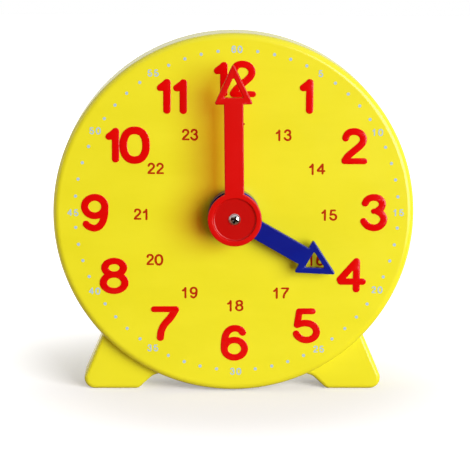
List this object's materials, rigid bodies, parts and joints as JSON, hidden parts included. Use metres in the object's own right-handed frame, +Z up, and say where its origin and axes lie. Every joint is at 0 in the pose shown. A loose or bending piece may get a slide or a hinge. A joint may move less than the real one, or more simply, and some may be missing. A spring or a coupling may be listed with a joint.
{
  "type": "geared teaching clock",
  "caption": "Small hand-set teaching clock: round dial on two moulded feet, arrow-headed hour and minute hands driven together by a gear train from a knob at the back.",
  "frame": {"origin": "on the surface that the feet stand on, in the middle of the overall width and depth", "axes": "+Z up, the dial faces -Y, +X points to three o'clock"},
  "size_m": [0.1, 0.0326, 0.1005],
  "materials": {
    "case_yellow": "glossy moulded ABS, bright lemon yellow",
    "minute_red": "satin-gloss moulded plastic, signal red",
    "hour_blue": "satin-gloss moulded plastic, ultramarine blue",
    "movement_white": "unpainted white acetal",
    "zinc_steel": "zinc-plated steel",
    "screw_chrome": "bright nickel-plated steel",
    "spring_steel": "spring steel strip"
  },
  "bodies": {
    "case": {"front_housing": "case_yellow", "rear_cover": "case_yellow", "case_screw_1": "zinc_steel", "case_screw_2": "zinc_steel", "case_screw_3": "zinc_steel", "case_screw_4": "zinc_steel", "case_screw_5": "zinc_steel", "case_screw_6": "zinc_steel", "idler_pin": "zinc_steel", "friction_washer": "spring_steel"},
    "minute_train": {"minute_hand": "minute_red", "hand_screw": "screw_chrome", "centre_arbor": "movement_white", "minute_pinion": "movement_white", "setting_knob": "case_yellow", "knob_screw": "zinc_steel"},
    "hour_train": {"hour_hand": "hour_blue", "hour_wheel": "movement_white"},
    "intermediate": {"intermediate_gear": "movement_white"}
  },
  "joints": [
    {"name": "minute_turn", "type": "hinge", "parent": "case", "child": "minute_train", "pos_m": [0, 0, 0.0505], "axis": [0, 1, 0], "continuous": true},
    {"name": "hour_turn", "type": "hinge", "parent": "case", "child": "hour_train", "pos_m": [0, 0, 0.0505], "axis": [0, 1, 0], "continuous": true},
    {"name": "intermediate_turn", "type": "hinge", "parent": "case", "child": "intermediate", "pos_m": [0, 0, 0.0305], "axis": [0, 1, 0], "continuous": true}
  ],
  "couplings": [
    {"joint": "hour_turn", "follows": "minute_turn", "ratio": 0.083333},
    {"joint": "intermediate_turn", "follows": "minute_turn", "ratio": -0.33333}
  ]
}
